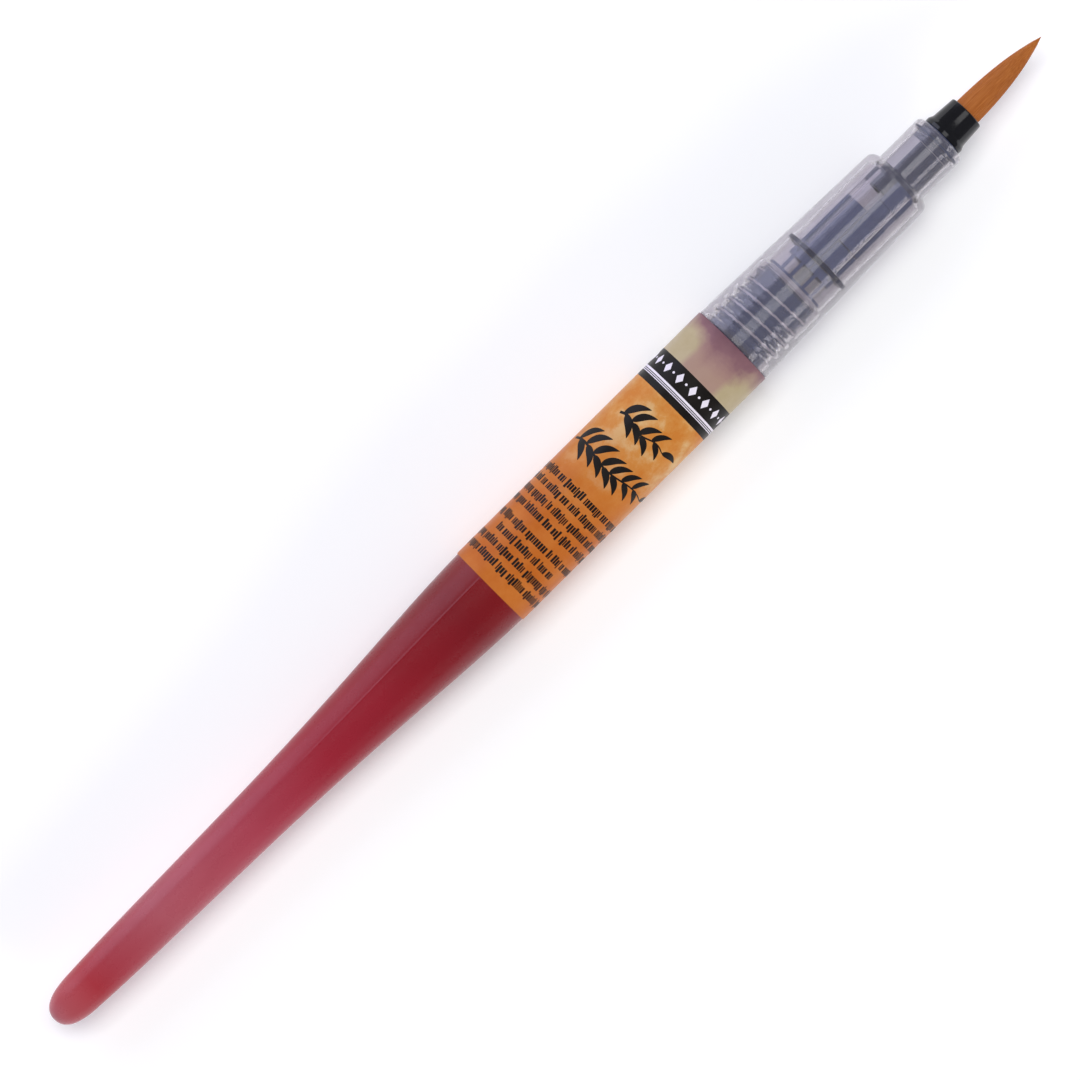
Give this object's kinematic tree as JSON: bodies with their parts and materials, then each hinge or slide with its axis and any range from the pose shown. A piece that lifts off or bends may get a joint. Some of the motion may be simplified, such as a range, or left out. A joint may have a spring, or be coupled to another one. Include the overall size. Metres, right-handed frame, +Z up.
{
  "type": "brush pen",
  "caption": "Squeeze-barrel brush pen: soft tapered ink barrel with a printed label, clear screw-on grip section and a pointed hair tip in a black ferrule.",
  "frame": {"origin": "bottom centre of the bounding box: on the surface that the pen lies on, under the middle of its length", "axes": "+X along the pen's axis from the tail to the hair tip, +Z up, +Y across the pen"},
  "size_m": [0.178, 0.012, 0.012],
  "materials": {
    "barrel_plastic": "glossy, slightly milky soft plastic, red where ink fills it",
    "label_film": "printed film: ochre to parchment wash, with a black band",
    "ink": "dark red liquid",
    "dark_plastic": "satin",
    "felt": "porous fibre",
    "seal": "soft, matt",
    "clear_plastic": "clear with a faint milky haze",
    "black_plastic": "glossy",
    "hair": "fine straight synthetic hair"
  },
  "bodies": {
    "barrel": {"reservoir": "barrel_plastic", "label": "label_film", "ink_charge": "ink", "neck_plug": "dark_plastic", "restrictor_pad": "felt"},
    "seal": {"seal_washer": "seal"},
    "head": {"grip_section": "clear_plastic", "feed_channel": "dark_plastic", "feed_cover": "dark_plastic", "feed_ring": "black_plastic", "wick": "felt", "ferrule": "black_plastic", "tuft_root": "hair"},
    "hairs": {"tuft": "hair"}
  },
  "joints": [
    {"name": "head_advance", "type": "slide", "parent": "barrel", "child": "seal", "axis": [1, 0, 0], "range_m": [0, 0.0081]},
    {"name": "head_turn", "type": "hinge", "parent": "seal", "child": "head", "pos_m": [0.055, 0, 0.006], "axis": [1, 0, 0], "range_deg": [0, 1620]},
    {"name": "tuft_flex", "type": "hinge", "parent": "head", "child": "hairs", "pos_m": [0.0755, 0, 0.006], "axis": [0, 1, 0], "range_deg": [-25, 25], "stiffness_Nm_per_rad": 0.002}
  ],
  "couplings": [
    {"joint": "head_turn", "follows": "head_advance", "rad_per_m": 3490.7}
  ]
}
